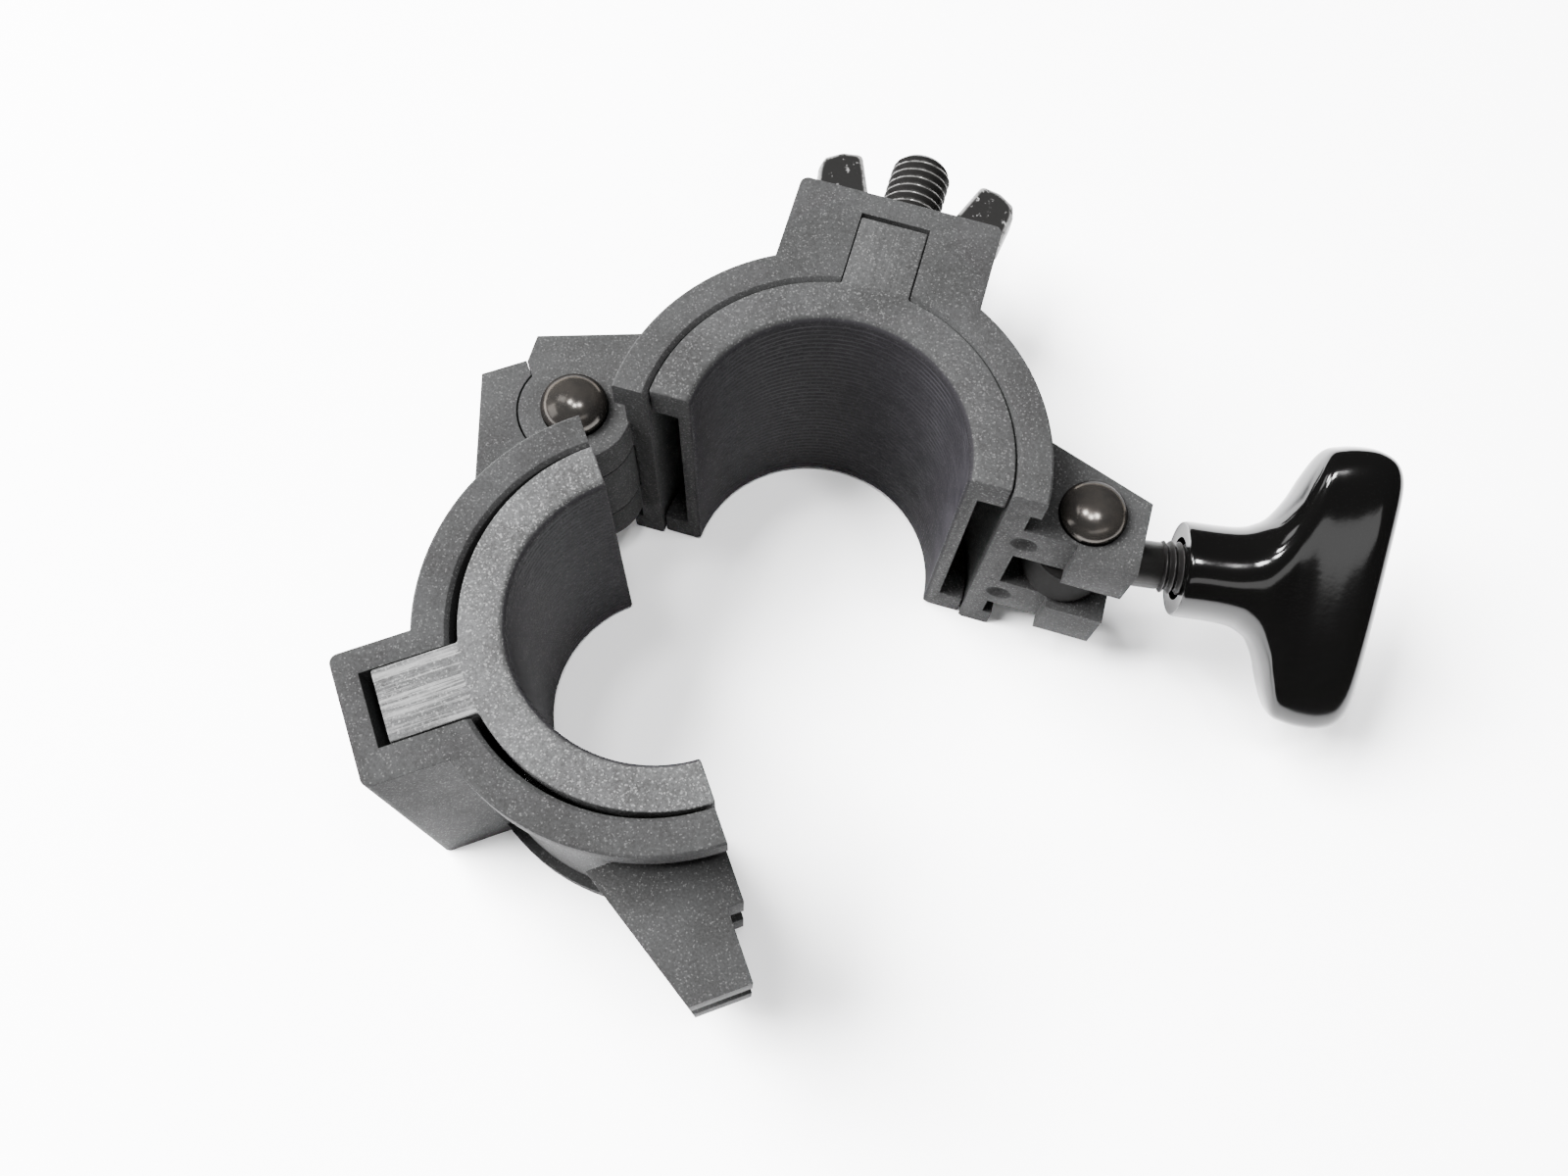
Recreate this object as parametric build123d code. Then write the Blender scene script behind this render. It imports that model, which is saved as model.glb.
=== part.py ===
from build123d import *
import math
import os

# Stage pipe clamp in millimetres. The origin is on the pipe axis, half way along the clamp's depth.
# +Z runs along the pipe, +X from the hinge to the latch, +Y to the boss that carries the mounting bolt.
# The upper half stands still. The lower half is drawn closed, then swung open about the hinge pin.

# Driving dimensions
HALF_DEPTH = 25.0
PIPE_BORE_R = 19.2
SHELL_BORE_R = 25.45
SHELL_R = 30.3
WEB_R = 28.8
RIM_DEPTH = 5.0
PARTING = 0.2
EDGE_CHAMFER = 0.6

# Lugs at the hinge and the latch
LUG_HALF = 15.0
LUG_ROOT_X = 26.0
LUG_SHOULDER_X = 30.3
UPPER_LUG_X = 45.4
LOWER_LUG_X = 46.0

# Hinge
HINGE_X = -36.5
OPEN_ANGLE = 54.0
LOBE_R = 8.0
LOBE_CLEARANCE = 0.25
KNUCKLE_HALF = 7.0
KNUCKLE_GAP = 0.3
PIN_R = 3.0
RUNNING = 0.06

# Latch
LATCH_X = 37.5
LATCH_Y = 5.3
EAR_SLOT_X = 29.1
EAR_SLOT_HALF = 5.4
FORK_SLOT_X = 30.6
FORK_SLOT_HALF = 5.0
TOOTH_X = 36.6
TOOTH_DEPTH = 1.9
TOOTH_PLAY = 0.5
DIMPLE_R = 2.05
DIMPLE_X = 29.8
DIMPLE_Z = 10.2
DIMPLE_BALL_R = 2.4

# Domed caps on the ends of both pins
CAP_R = 4.8
CAP_BORE_DEPTH = 1.8
HINGE_CAP_HEIGHT = 4.3
LATCH_CAP_HEIGHT = 3.5
FAR_CAP_HEIGHT = 3.2

# Bosses and the slots that key the liners
UPPER_BOSS_HALF = 14.8
UPPER_BOSS_Y = 40.0
LOWER_BOSS_LEFT = -8.4
LOWER_BOSS_RIGHT = 9.3
LOWER_BOSS_Y = 39.6
BOSS_CORNER_R = 1.2
KEY_SLOT_HALF = 5.0
KEY_SLOT_Y = 36.5
KEY_SLOT_Z = 10.8

# Liners
LINER_R = 25.2
LINER_WALL = 2.2
LINER_FLANGE = 6.0
LINER_END = 0.8
LINER_BEVEL = 0.8
KEY_HALF = 4.85
KEY_Y = 35.9
LOWER_LINER_SHIFT = (-0.1, 0.85)

# Mounting bolt, washer and wing nut, M10
BOLT_R = 4.9
BOLT_PITCH = 1.5
THREAD_DEPTH = 0.85
HEAD_FLATS = 16.0
HEAD_Y = 26.0
HEAD_SEAT_Y = 31.6
BOLT_END_Y = 51.8
BOLT_TIP_Y = 64.6
BOLT_TIP_CHAMFER = 1.0
BOLT_HOLE_R = 5.25
WASHER_R = 10.0
WASHER_THICK = 2.0
NUT_BASE_R = 9.4
NUT_TOP_R = 7.6
NUT_HUB = 9.5
WING_HALF_THICK = 2.2

# Swing bolt, M8, and its wing knob
SWING_ANGLE = 8.2
EYE_R = 6.2
EYE_HALF = 4.5
SHANK_R = 3.55
SWING_R = 3.95
SWING_PITCH = 1.25
SWING_THREAD_START = 13.6
SWING_TIP = 37.0
KNOB_FRONT = 16.3
KNOB_ROLL = 34.0
HUB_R = 7.15
KNOB_HALF_THICK = 5.6
KNOB_EDGE_R = 3.2
INSERT_R = 5.4
INSERT_START = 4.0
INSERT_END = 19.0
KNOB_HOLE_END = 25.5
SLIDING = 0.05

FAR = 80.0


def plate(points, low, high):
    """Flat-sided solid on a closed outline, from z = low to z = high."""
    outline = Polygon(*points, align=None)
    return extrude(Plane.XY.offset(low) * outline, high - low, dir=(0, 0, 1))


def disc(x, y, radius, low, high):
    """Upright cylinder from z = low to z = high."""
    return Pos(x, y, (low + high) / 2) * Cylinder(radius, high - low)


def block(x_range, y_range, z_range):
    """Box between two limits on each axis."""
    size = [high - low for low, high in (x_range, y_range, z_range)]
    middle = [(high + low) / 2 for low, high in (x_range, y_range, z_range)]
    return Pos(*middle) * Box(*size)


def mouth_cones(radius, chamfer):
    """Cutters that break the two round edges of a bore on the pipe axis."""
    spread = 0.2
    height = chamfer + spread
    near = Pos(0, 0, HALF_DEPTH + spread - height / 2) * Cone(radius, radius + height, height)
    return near + mirror(near, about=Plane.XY)


def half_space(side):
    """Everything beyond the parting plane, on side +1 or -1 of it."""
    near, far = side * PARTING, side * FAR
    return block((-FAR, FAR), (min(near, far), max(near, far)), (-FAR, FAR))


def threaded_rod(radius, pitch, start, end, depth):
    """Rod on +Z whose crests and roots are plain rings, with a tapered tip."""
    crests = int((end - start) / pitch) - 1
    outline = [(0, start), (radius - depth, start)]
    for turn in range(crests):
        height = start + turn * pitch
        outline.append((radius - depth, height + 0.12 * pitch))
        outline.append((radius, height + 0.44 * pitch))
        outline.append((radius, height + 0.56 * pitch))
        outline.append((radius - depth, height + 0.88 * pitch))
    outline.append((radius - depth, end - 0.4 * pitch))
    outline.append((radius - 1.6 * depth, end))
    outline.append((0, end))
    profile = make_face(Polyline(*outline, close=True))
    return revolve(Plane.XZ * profile, Axis.Z)


def ring_shell(side):
    """Half ring with two rims, a recessed web between them, and broken bore edges."""
    ring = disc(0, 0, SHELL_R, -HALF_DEPTH, HALF_DEPTH)
    rim_edges = ring.edges().filter_by(GeomType.CIRCLE)
    ring = chamfer(rim_edges, EDGE_CHAMFER / 2)
    waist = HALF_DEPTH - RIM_DEPTH
    groove = disc(0, 0, SHELL_R + 1, -waist, waist) - disc(0, 0, WEB_R, -waist, waist)
    return (ring - groove) & half_space(side)


def boss(left, right, outer_y, side):
    """Block outside the ring, with its outer corners rounded."""
    root_y = SHELL_BORE_R - 3.5
    height = outer_y - root_y
    middle = Pos((left + right) / 2, side * (root_y + height / 2))
    outline = middle * RectangleRounded(right - left, height, BOSS_CORNER_R)
    return extrude(Plane.XY.offset(-HALF_DEPTH) * outline, 2 * HALF_DEPTH)


def key_slot(side):
    """Slot in a boss that takes a liner's key, open at the near face and into the bore."""
    y_range = sorted((side * (SHELL_BORE_R - 4), side * KEY_SLOT_Y))
    return block((-KEY_SLOT_HALF, KEY_SLOT_HALF), y_range, (KEY_SLOT_Z, HALF_DEPTH + 1))


def shell_bore():
    """Cutter for the shell's bore and its two broken edges."""
    return disc(0, 0, SHELL_BORE_R, -FAR, FAR) + mouth_cones(SHELL_BORE_R, EDGE_CHAMFER)


def both_ends(low, high, maker):
    """The same feature between z = low and high and its mirror below the middle."""
    feature = maker(low, high)
    return feature + mirror(feature, about=Plane.XY)


def swing_open(solid):
    """Turns a solid of the closed lower half about the hinge pin to where it hangs open."""
    return Pos(HINGE_X, 0, 0) * Rot(0, 0, -OPEN_ANGLE) * Pos(-HINGE_X, 0, 0) * solid


def upper_shell():
    """Fixed half: ring, wide boss, hinge block with two knuckles, and two ears for the latch."""
    shoulder_y = 14.4
    corner_y = 9.35
    stop_y = 5.02
    lug_side = [(-LUG_ROOT_X, shoulder_y + 1.4), (-LUG_SHOULDER_X, shoulder_y), (-UPPER_LUG_X, corner_y)]
    hinge_side = [(-LUG_ROOT_X, PARTING)] + lug_side + [(-UPPER_LUG_X, stop_y), (-43.92, 2.99), (HINGE_X, PARTING)]
    ear_side = [(-x, y) for x, y in lug_side]
    tooth = [(UPPER_LUG_X, -TOOTH_DEPTH), (TOOTH_X, -TOOTH_DEPTH), (TOOTH_X, PARTING), (LUG_ROOT_X, PARTING)]

    body = ring_shell(1) + boss(-UPPER_BOSS_HALF, UPPER_BOSS_HALF, UPPER_BOSS_Y, 1)
    body += plate(hinge_side, -LUG_HALF, LUG_HALF)
    body += plate(ear_side + tooth, -LUG_HALF, LUG_HALF)
    knuckle_low = KNUCKLE_HALF + KNUCKLE_GAP
    body -= disc(HINGE_X, 0, LOBE_R + LOBE_CLEARANCE, -knuckle_low, knuckle_low)
    body += both_ends(knuckle_low, LUG_HALF, lambda low, high: disc(HINGE_X, 0, LOBE_R, low, high))
    body -= block((EAR_SLOT_X, FAR), (-FAR, FAR), (-EAR_SLOT_HALF, EAR_SLOT_HALF))
    body -= shell_bore()
    body -= key_slot(1)
    body -= disc(HINGE_X, 0, PIN_R, -FAR, FAR)
    body -= disc(LATCH_X, LATCH_Y, PIN_R, -FAR, FAR)
    dimple_rise = math.sqrt(DIMPLE_BALL_R ** 2 - DIMPLE_R ** 2)
    for z in (-DIMPLE_Z, DIMPLE_Z):
        body -= Pos(DIMPLE_X, PARTING - dimple_rise, z) * Sphere(DIMPLE_BALL_R)
    pocket = extrude(RegularPolygon(HEAD_FLATS / 2 + 0.15, 6, major_radius=False), HEAD_SEAT_Y)
    body -= Rot(-90, 0, 0) * pocket
    body -= Pos(0, UPPER_BOSS_Y, 0) * Rot(90, 0, 0) * Cylinder(BOLT_HOLE_R, 40)
    return body


def lower_shell():
    """Swinging half, drawn closed: ring, narrow boss, hinge block with one knuckle, and the fork."""
    shoulder_y = -16.3
    corner_y = -10.9
    stop_y = -4.3
    step_y = -TOOTH_DEPTH - TOOTH_PLAY
    step_x = TOOTH_X - 0.3
    root_y = shoulder_y - 1.5
    hinge_side = [(-LUG_ROOT_X, -PARTING), (HINGE_X, -PARTING), (HINGE_X, stop_y), (-LOWER_LUG_X, stop_y)]
    hinge_side += [(-LOWER_LUG_X, corner_y), (-LUG_SHOULDER_X, shoulder_y), (-LUG_ROOT_X, root_y)]
    fork = [(LUG_ROOT_X, -PARTING), (step_x, -PARTING), (step_x, step_y), (LOWER_LUG_X, step_y)]
    fork += [(LOWER_LUG_X, corner_y), (LUG_SHOULDER_X, shoulder_y), (LUG_ROOT_X, root_y)]

    body = ring_shell(-1) + boss(LOWER_BOSS_LEFT, LOWER_BOSS_RIGHT, LOWER_BOSS_Y, -1)
    body += plate(hinge_side, -LUG_HALF, LUG_HALF)
    body += plate(fork, -LUG_HALF, LUG_HALF)
    sweep = LOBE_R + LOBE_CLEARANCE
    body -= both_ends(KNUCKLE_HALF, LUG_HALF + 1, lambda low, high: disc(HINGE_X, 0, sweep, low, high))
    body += disc(HINGE_X, 0, LOBE_R, -KNUCKLE_HALF, KNUCKLE_HALF)
    body -= block((FORK_SLOT_X, FAR), (-FAR, FAR), (-FORK_SLOT_HALF, FORK_SLOT_HALF))
    body -= shell_bore()
    body -= key_slot(-1)
    body -= disc(HINGE_X, 0, PIN_R + RUNNING, -FAR, FAR)
    return body


def liner(side):
    """Half sleeve for the smaller pipe: a thin bore wall, a flange at each end and one key."""
    waist = HALF_DEPTH - LINER_FLANGE
    sleeve = disc(0, 0, LINER_R, -HALF_DEPTH, HALF_DEPTH)
    hollow = disc(0, 0, LINER_R + 1, -waist, waist) - disc(0, 0, PIPE_BORE_R + LINER_WALL, -waist, waist)
    beyond = side * LINER_END
    reach = block((-FAR, FAR), sorted((beyond, side * FAR)), (-FAR, FAR))
    key_root = side * (PIPE_BORE_R + LINER_WALL / 2)
    key = block((-KEY_HALF, KEY_HALF), sorted((key_root, side * KEY_Y)), (KEY_SLOT_Z + 0.2, HALF_DEPTH))
    body = ((sleeve - hollow) & reach) + key
    return body - disc(0, 0, PIPE_BORE_R, -FAR, FAR) - mouth_cones(PIPE_BORE_R, LINER_BEVEL)


def pin(x, y):
    """Plain pin through a set of lugs, reaching into the cap at each end."""
    reach = LUG_HALF + CAP_BORE_DEPTH
    return disc(x, y, PIN_R, -reach, reach)


def cap(x, y, height, side):
    """Domed push-on cap with a blind bore, seated on the near (+1) or far (-1) lug face."""
    ball_r = (CAP_R ** 2 + height ** 2) / (2 * height)
    lowest = LUG_HALF + height - 2 * ball_r
    dome = Pos(x, y, lowest + ball_r) * Sphere(ball_r)
    dome = dome & disc(x, y, max(CAP_R, ball_r) + 1, LUG_HALF, LUG_HALF + height + 1)
    dome -= disc(x, y, PIN_R, LUG_HALF - 1, LUG_HALF + CAP_BORE_DEPTH)
    if side < 0:
        return mirror(dome, about=Plane.XY)
    return dome


def mounting_bolt():
    """Hex bolt held in the wide boss, head towards the pipe and thread pointing out along +Y."""
    head = extrude(RegularPolygon(HEAD_FLATS / 2, 6, major_radius=False), HEAD_SEAT_Y - HEAD_Y)
    head = Pos(0, 0, HEAD_Y) * head
    thread_start = UPPER_BOSS_Y - 3
    chamfer_y = BOLT_TIP_Y - BOLT_TIP_CHAMFER
    shank = disc(0, 0, BOLT_R, HEAD_SEAT_Y, thread_start)
    rod = threaded_rod(BOLT_R, BOLT_PITCH, thread_start, BOLT_END_Y, THREAD_DEPTH)
    free_end = disc(0, 0, BOLT_R, BOLT_END_Y, chamfer_y)
    tip = Pos(0, 0, BOLT_TIP_Y - BOLT_TIP_CHAMFER / 2) * Cone(BOLT_R, BOLT_R - BOLT_TIP_CHAMFER, BOLT_TIP_CHAMFER)
    return Rot(-90, 0, 0) * (head + shank + rod + free_end + tip)


def mounting_washer():
    """Plain washer under the wing nut."""
    ring = disc(0, 0, WASHER_R, 0, WASHER_THICK) - disc(0, 0, BOLT_HOLE_R, -1, WASHER_THICK + 1)
    return Pos(0, UPPER_BOSS_Y, 0) * Rot(-90, 0, 0) * ring


def wing_nut():
    """Wing nut with a tapered hub and two upright wings."""
    seat = UPPER_BOSS_Y + WASHER_THICK
    hub = Pos(0, 0, seat + NUT_HUB / 2) * Cone(NUT_BASE_R, NUT_TOP_R, NUT_HUB)
    upright = Rot(-90, 0, 0) * hub
    wing = [(5.6, 50.0), (7.3, 55.6), (10.2, 63.0), (13.4, 62.5), (15.8, 61.0), (16.4, 58.8)]
    wing += [(15.4, 52.6), (12.2, 46.4), (8.0, 43.2), (5.6, 43.2)]
    for hand in (1, -1):
        outline = [(hand * x, y) for x, y in wing]
        upright += plate(outline, -WING_HALF_THICK, WING_HALF_THICK)
    bore = Rot(-90, 0, 0) * disc(0, 0, BOLT_R + SLIDING, 0, FAR)
    return upright - bore


def on_swing_bolt(solid):
    """Moves a solid drawn along +X from the latch pin to the swing bolt's place and angle."""
    return Pos(LATCH_X, LATCH_Y, 0) * Rot(0, 0, SWING_ANGLE) * solid


def swing_bolt():
    """Eye bolt that pivots on the latch pin."""
    eye = disc(0, 0, EYE_R, -EYE_HALF, EYE_HALF)
    shank = Pos((EYE_R / 2 + SWING_THREAD_START) / 2, 0, 0) * Rot(0, 90, 0) * Cylinder(
        SHANK_R, SWING_THREAD_START - EYE_R / 2
    )
    rod = Rot(0, 90, 0) * threaded_rod(SWING_R, SWING_PITCH, SWING_THREAD_START, SWING_TIP, 0.7)
    return on_swing_bolt(eye + shank + rod - disc(0, 0, PIN_R + RUNNING, -FAR, FAR))


def knob_insert():
    """Threaded steel bush inside the knob."""
    bush = disc(0, 0, INSERT_R, INSERT_START, INSERT_END) - disc(0, 0, SWING_R + SLIDING, 0, FAR)
    return on_swing_bolt(Pos(KNOB_FRONT, 0, 0) * Rot(0, 90, 0) * bush)


def knob():
    """T-shaped wing knob: a round hub that flares into two thick wings with rounded edges."""
    half = [(10.0, 7.7), (12.4, 9.6), (14.3, 13.0), (16.0, 17.3), (17.8, 20.4), (20.0, 21.4), (22.5, 21.6)]
    half += [(25.2, 21.3), (27.6, 20.1), (29.1, 17.6), (29.7, 13.0), (29.6, 6.8)]
    upper_edge = [(5.0, 6.7)] + half
    lower_edge = [(u, -w) for u, w in reversed(upper_edge)]
    wing_edge = Spline(*(upper_edge + [(29.45, 0.0)] + lower_edge))
    neck_edge = Line(lower_edge[-1], upper_edge[0])
    blade = extrude(make_face([wing_edge, neck_edge]), KNOB_HALF_THICK, both=True)
    rims = blade.edges().group_by(Axis.Z)[0] + blade.edges().group_by(Axis.Z)[-1]
    blade = fillet(rims.sort_by(SortBy.LENGTH)[-2:], KNOB_EDGE_R)
    hub_length = 22.0
    hub = Pos(hub_length / 2, 0, 0) * Rot(0, 90, 0) * Cone(HUB_R, KNOB_HALF_THICK - 0.4, hub_length)
    body = hub + blade
    hole = disc(0, 0, INSERT_R - 0.6, -1, INSERT_START)
    hole += disc(0, 0, INSERT_R + SLIDING, INSERT_START - SLIDING, INSERT_END + SLIDING)
    hole += disc(0, 0, SWING_R + 0.35, INSERT_END, KNOB_HOLE_END)
    body -= Rot(0, 90, 0) * hole
    return on_swing_bolt(Pos(KNOB_FRONT, 0, 0) * Rot(KNOB_ROLL, 0, 0) * body)


nodes = {
    "upper_shell": upper_shell(),
    "lower_shell": swing_open(lower_shell()),
    "upper_liner": liner(1),
    "lower_liner": swing_open(Pos(*LOWER_LINER_SHIFT, 0) * liner(-1)),
    "hinge_pin": pin(HINGE_X, 0),
    "hinge_cap_near": cap(HINGE_X, 0, HINGE_CAP_HEIGHT, 1),
    "hinge_cap_far": cap(HINGE_X, 0, FAR_CAP_HEIGHT, -1),
    "latch_pin": pin(LATCH_X, LATCH_Y),
    "latch_cap_near": cap(LATCH_X, LATCH_Y, LATCH_CAP_HEIGHT, 1),
    "latch_cap_far": cap(LATCH_X, LATCH_Y, FAR_CAP_HEIGHT, -1),
    "swing_bolt": swing_bolt(),
    "knob": knob(),
    "knob_insert": knob_insert(),
    "mounting_bolt": mounting_bolt(),
    "mounting_washer": mounting_washer(),
    "wing_nut": wing_nut(),
}

os.makedirs("parts", exist_ok=True)
for name, solid in nodes.items():
    export_step(solid, f"parts/{name}.step")
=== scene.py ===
import bmesh
import bpy
import math
from mathutils import Matrix, Vector


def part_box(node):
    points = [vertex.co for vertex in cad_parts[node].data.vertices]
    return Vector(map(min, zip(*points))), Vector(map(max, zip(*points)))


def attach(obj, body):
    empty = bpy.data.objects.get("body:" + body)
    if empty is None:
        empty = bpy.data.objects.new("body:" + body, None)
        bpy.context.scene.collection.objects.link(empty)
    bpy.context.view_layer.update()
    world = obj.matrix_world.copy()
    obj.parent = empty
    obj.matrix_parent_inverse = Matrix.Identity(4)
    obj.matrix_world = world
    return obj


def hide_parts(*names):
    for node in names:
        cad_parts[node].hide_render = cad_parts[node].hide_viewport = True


# Looks of a stage pipe clamp. Metres, in the clamp's own frame: +Z along the pipe, +X from hinge to latch.

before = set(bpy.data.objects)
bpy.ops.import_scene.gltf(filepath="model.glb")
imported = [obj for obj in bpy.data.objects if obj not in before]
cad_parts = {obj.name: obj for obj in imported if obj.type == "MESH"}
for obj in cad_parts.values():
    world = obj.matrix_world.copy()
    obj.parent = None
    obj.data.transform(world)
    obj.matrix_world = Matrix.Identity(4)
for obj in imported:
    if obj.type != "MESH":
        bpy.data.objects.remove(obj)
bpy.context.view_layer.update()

MM = 0.001

# Places and angles of the clamp itself
HINGE = Vector((-36.5, 0.0, 0.0)) * MM
LATCH = Vector((37.5, 5.3, 0.0)) * MM
LUG_FACE = 15.0 * MM
BOSS_FACE = 40.0 * MM
OPEN_ANGLE = math.radians(-54.0)
SWING_ANGLE = math.radians(8.2)
KNOB_ROLL = math.radians(34.0)
KNOB_FRONT = 16.3 * MM
REST_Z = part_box("upper_shell")[0].z

# Threads, in mm: radius at the crest, radius at the root, pitch
STUD_THREAD = (4.9, 4.1, 1.5)
SWING_THREAD = (3.95, 3.32, 1.25)
SWING_NECK = 3.3

# Radii in mm between which the painted shade of a sleeve's bore begins, and between which its scraped
# outside begins
BORE_SHADE_RADII = (19.75, 19.45)
OUTER_SKIN = (25.1, 25.3)


def swung(place):
    """Where a place on the closed lower half, in mm, is while it hangs open."""
    turn = Matrix.Rotation(OPEN_ANGLE, 3, "Z")
    return HINGE + turn @ (Vector(place) * MM - HINGE)


# Centre of the lower sleeve's bore, a little off the lower half's own centre
LOWER_BORE = swung((-0.1, 0.85, 0.0))


# ---------------------------------------------------------------- node trees

class Wire:
    """A node's output that takes part in sums; every sum adds its Math node."""

    def __init__(self, bench, socket):
        self.bench = bench
        self.socket = socket

    def also(self, name):
        """Another output of the same node."""
        return Wire(self.bench, self.socket.node.outputs[name])

    def _math(self, operation, first, second=None):
        values = {0: first} if second is None else {0: first, 1: second}
        return self.bench.node("ShaderNodeMath", {"operation": operation}, values)

    def __add__(self, other):
        return self._math("ADD", self, other)

    def __radd__(self, other):
        return self._math("ADD", other, self)

    def __sub__(self, other):
        return self._math("SUBTRACT", self, other)

    def __rsub__(self, other):
        return self._math("SUBTRACT", other, self)

    def __mul__(self, other):
        return self._math("MULTIPLY", self, other)

    def __rmul__(self, other):
        return self._math("MULTIPLY", other, self)

    def root(self):
        return self._math("SQRT", self)

    def least(self, other):
        return self._math("MINIMUM", self, other)

    def step(self, low, high):
        """0 below low, 1 above high, smooth between; high may be the smaller."""
        flip = high < low
        limits = {"Value": self, "From Min": min(low, high), "From Max": max(low, high)}
        limits.update({"To Min": 1.0 if flip else 0.0, "To Max": 0.0 if flip else 1.0})
        return self.bench.node("ShaderNodeMapRange", {"interpolation_type": "SMOOTHSTEP"}, limits)


class Bench:
    """One node tree and the single way nodes are added to it."""

    def __init__(self, tree):
        self.tree = tree

    def node(self, kind, settings=None, inputs=None):
        """Adds a node: its settings first, then its sockets' values or links."""
        made = self.tree.nodes.new(kind)
        for key, value in (settings or {}).items():
            setattr(made, key, value)
        for key, value in (inputs or {}).items():
            self.plug(value, made.inputs[key])
        return Wire(self, next(o for o in made.outputs if o.enabled)) if made.outputs else None

    def plug(self, value, socket):
        if isinstance(value, Wire):
            self.tree.links.new(value.socket, socket)
        else:
            socket.default_value = value


def grey(value, warm=0.0):
    """A neutral colour, warmer where warm is above 0 and cooler below."""
    return (value * (1.0 + warm), value, value * (1.0 - warm), 1.0)


class Finish:
    """A material on Object coordinates, with the noises and masks the finishes share."""

    def __init__(self, name):
        self.material = bpy.data.materials.new(name)
        self.material.use_nodes = True
        self.bench = Bench(self.material.node_tree)
        self.shader = self.material.node_tree.nodes["Principled BSDF"]
        self.place = self.bench.node("ShaderNodeTexCoord").also("Object")

    def noise(self, grain, detail=3.0, rough=0.55, at=None):
        """Noise whose lumps are about grain millimetres across."""
        values = {"Vector": at or self.place, "Scale": 1.0 / (grain * MM)}
        values.update({"Detail": detail, "Roughness": rough})
        return self.bench.node("ShaderNodeTexNoise", None, values)

    def cells(self, grain):
        """Random grey value for each cell of about grain millimetres."""
        values = {"Vector": self.place, "Scale": 1.0 / (grain * MM)}
        colour = self.bench.node("ShaderNodeTexVoronoi", None, values).also("Color")
        return self.bench.node("ShaderNodeSeparateColor", None, {0: colour})

    def turned(self, place, angle, stretch=(1.0, 1.0, 1.0)):
        """Object coordinates moved to place, turned about Z, and stretched."""
        moved = self.bench.node("ShaderNodeMapping", {"vector_type": "TEXTURE"}, {
            "Vector": self.place, "Location": tuple(place), "Rotation": (0.0, 0.0, angle)})
        return self.bench.node("ShaderNodeMapping", None, {"Vector": moved, "Scale": stretch})

    def distance(self, at, *axes):
        """Distance in mm from the middle of at, along the named axes only."""
        split = self.bench.node("ShaderNodeSeparateXYZ", None, {0: at})
        squares = [split.also(axis) * split.also(axis) for axis in axes]
        return sum(squares[1:], squares[0]).root() * (1.0 / MM)

    def mix(self, amount, low, high):
        """The low colour where amount is 0 and the high one where it is 1."""
        return self.bench.node("ShaderNodeMix", {"data_type": "RGBA"}, {0: amount, 6: low, 7: high})

    def edges(self, low, high):
        """1 on worn outer corners, 0 elsewhere."""
        bend = self.bench.node("ShaderNodeNewGeometry").also("Pointiness")
        return bend.step(low, high)

    def bump(self, height, depth, strength):
        """Relief of depth millimetres at full strength where height goes from 0 to 1."""
        values = {"Height": height, "Distance": depth * MM, "Strength": strength}
        return self.bench.node("ShaderNodeBump", None, values)

    def finish(self, **sockets):
        """Plugs the shader's sockets and gives the material."""
        for name, value in sockets.items():
            self.bench.plug(value, self.shader.inputs[name.replace("_", " ")])
        return self.material


def moulded_plastic(name, base, lift, sparkle, grain, sheen, centre=None, key_angle=0.0, scrape=0.0):
    """Charcoal glass-filled plastic: mottled, with pale fibre specks and a pebbled skin.

    A liner gives its bore's centre and the turn of its key from +Y: its bore gets painted shade, its key is
    scraped.
    """
    make = Finish(name)
    cloud = make.noise(9.0, 4.0)
    mottle = make.noise(grain, 4.0, 0.7)
    fibre = make.cells(grain * 0.5)
    specks = fibre.step(1.0 - sparkle, 1.0)
    scuff = make.noise(26.0, 6.0, 0.75).step(0.62, 0.78)
    tone = (cloud.step(0.3, 0.7) * 0.3 + mottle.step(0.28, 0.72) * 0.55 + scuff * 0.12).least(1.0)
    colour = make.mix(tone, grey(base, 0.01), grey(lift, -0.015))
    colour = make.mix(specks * 0.5, colour, grey(lift * 2.4))
    skin = mottle * 0.7 + fibre * 0.3
    rough = 0.86 - mottle.step(0.4, 0.75) * 0.1 - specks * 0.2 - scuff * 0.08
    if centre is not None:
        radius = make.distance(make.turned(centre, key_angle), "X", "Y")
        bore_shade = radius.step(*BORE_SHADE_RADII)
        outside = radius.step(*OUTER_SKIN)
        streaks = make.noise(1.0, 4.0, 0.8, make.turned(centre, key_angle, (2.2, 0.05, 0.4)))
        scraped = outside * streaks.step(0.46, 0.62) * scrape
        colour = make.mix(scraped * 0.75, colour, grey(lift * 2.3))
        # Painted shade: the bore's wall is darkened to near black in place of the shade inside the bore.
        colour = make.mix(bore_shade * 0.85, colour, (0.0058, 0.0054, 0.0064, 1.0))
        rough = rough - scraped * 0.14
        skin = skin + streaks * outside * 1.5
    return make.finish(
        Base_Color=colour,
        Roughness=rough,
        Specular_IOR_Level=sheen,
        Normal=make.bump(skin, 0.035, 0.5),
    )


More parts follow.
